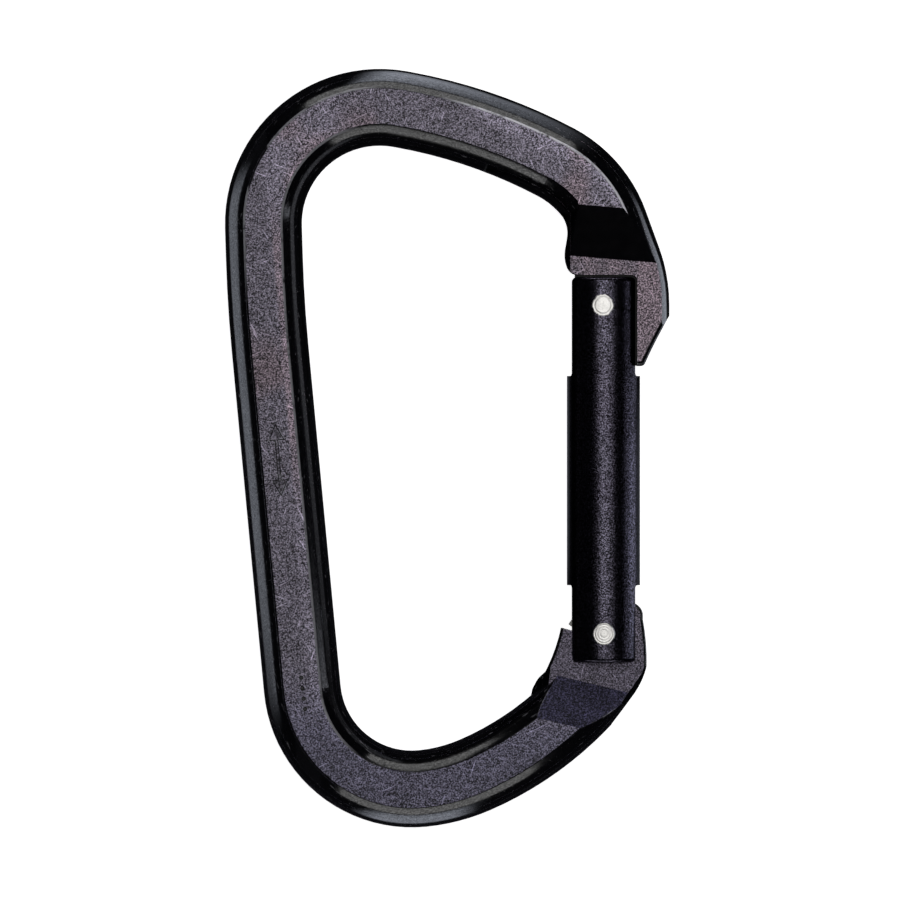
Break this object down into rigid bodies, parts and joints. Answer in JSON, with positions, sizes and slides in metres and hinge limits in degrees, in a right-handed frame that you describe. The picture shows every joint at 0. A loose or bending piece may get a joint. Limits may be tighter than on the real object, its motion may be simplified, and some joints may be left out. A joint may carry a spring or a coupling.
{
  "type": "carabiner",
  "caption": "Offset-D carabiner with a straight solid gate on a peened rivet, a spring and plunger in the gate, and a hooked nose that catches a latch rivet.",
  "frame": {"origin": "centre of the carabiner's bounding box, on its mid-plane, so the back flat that it rests on is 5.3 mm below", "axes": "+Y along the major axis towards the nose, +X from the spine towards the gate, +Z out of the front flat"},
  "size_m": [0.0635, 0.1084, 0.0106],
  "materials": {
    "anodised_frame": "black anodised over a fine blasted surface",
    "anodised_gate": "black anodised, slightly glossier than the frame",
    "rivet_steel": "bright peened stainless",
    "spring_steel": "drawn stainless wire",
    "plunger_steel": "plain turned stainless"
  },
  "bodies": {
    "frame": {"frame_body": "anodised_frame"},
    "gate": {"gate_arm": "anodised_gate", "hinge_rivet": "rivet_steel", "latch_rivet": "rivet_steel", "gate_spring": "spring_steel"},
    "plunger": {"spring_plunger": "plunger_steel"}
  },
  "joints": [
    {"name": "gate_hinge", "type": "hinge", "parent": "frame", "child": "gate", "pos_m": [0.02238, -0.02655, 0], "axis": [0, 0, 1], "range_deg": [0, 38], "stiffness_Nm_per_rad": 0.15, "springref_deg": -34.38},
    {"name": "plunger_slide", "type": "slide", "parent": "gate", "child": "plunger", "axis": [0, 1, 0], "range_m": [0, 0.0038], "deforming": ["gate_spring"]}
  ],
  "couplings": [
    {"joint": "plunger_slide", "follows": "gate_hinge", "m_per_rad": 0.0056}
  ]
}
